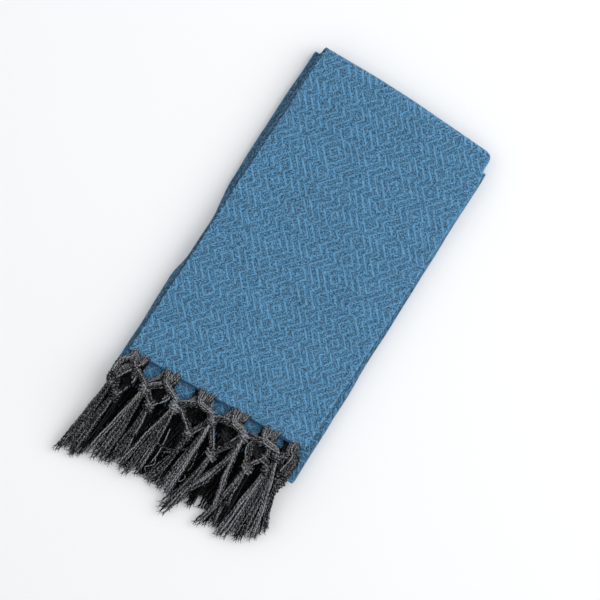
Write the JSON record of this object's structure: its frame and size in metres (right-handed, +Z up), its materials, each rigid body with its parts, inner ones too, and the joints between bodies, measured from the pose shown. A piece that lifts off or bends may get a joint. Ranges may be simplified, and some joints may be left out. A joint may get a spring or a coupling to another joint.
{
  "type": "folded fringed woven cotton throw",
  "caption": "Handwoven cotton throw with a diamond twill pattern and knotted fringe, pleated and folded back and forth into a flat oblong block that lies on a surface.",
  "frame": {"origin": "middle of the folded block's underside, on the surface that it lies on", "axes": "+X across the block towards its folded long edge, +Y along it away from the fringe, +Z up off the surface"},
  "size_m": [0.2789, 0.5873, 0.0322],
  "materials": {
    "cotton_blue": "matte handwoven cotton, blue weft over a charcoal warp, diamond twill",
    "yarn_charcoal": "matte plied cotton yarn, charcoal, knotted and frayed at its ends"
  },
  "bodies": {
    "root": {"cloth": "cotton_blue", "fringe_top": "yarn_charcoal", "fringe_floor": "yarn_charcoal"}
  },
  "joints": []
}
